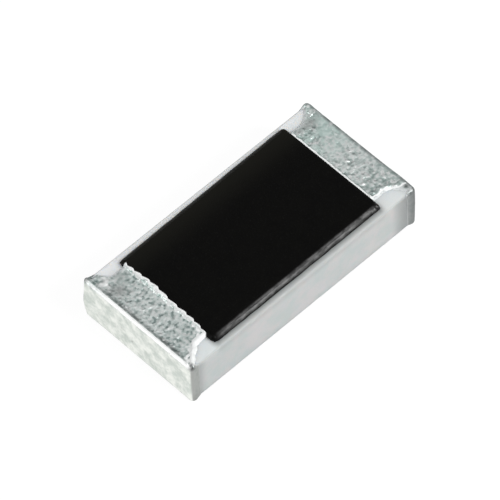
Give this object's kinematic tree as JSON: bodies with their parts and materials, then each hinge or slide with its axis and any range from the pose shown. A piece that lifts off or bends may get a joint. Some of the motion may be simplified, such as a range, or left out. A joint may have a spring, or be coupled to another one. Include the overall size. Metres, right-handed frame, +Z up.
{
  "type": "surface-mount chip resistor",
  "caption": "Thick-film chip resistor: white ceramic block, printed resistor sealed under black resin, and a tin-plated terminal wrapped round each end for soldering.",
  "frame": {"origin": "centre of the chip's footprint, on the board that its terminals are soldered to", "axes": "+X along the chip from the left-hand terminal to the right-hand one, +Y across it, +Z up from the board to the resin"},
  "size_m": [0.0032, 0.0016, 0.0006],
  "materials": {
    "alumina": "matte",
    "silver_print": "satin",
    "resistor_paste": "matte",
    "glass_seal": "gloss",
    "black_resin": "satin",
    "end_paste": "matte",
    "nickel": "satin",
    "tin": "matte"
  },
  "bodies": {
    "root": {"ceramic_substrate": "alumina", "top_electrode_left": "silver_print", "top_electrode_right": "silver_print", "bottom_electrode_left": "silver_print", "bottom_electrode_right": "silver_print", "resistor_film": "resistor_paste", "glass_coat": "glass_seal", "resin_overcoat": "black_resin", "end_electrode_left": "end_paste", "end_electrode_right": "end_paste", "nickel_barrier_left": "nickel", "nickel_barrier_right": "nickel", "tin_plating_left": "tin", "tin_plating_right": "tin"}
  },
  "joints": []
}
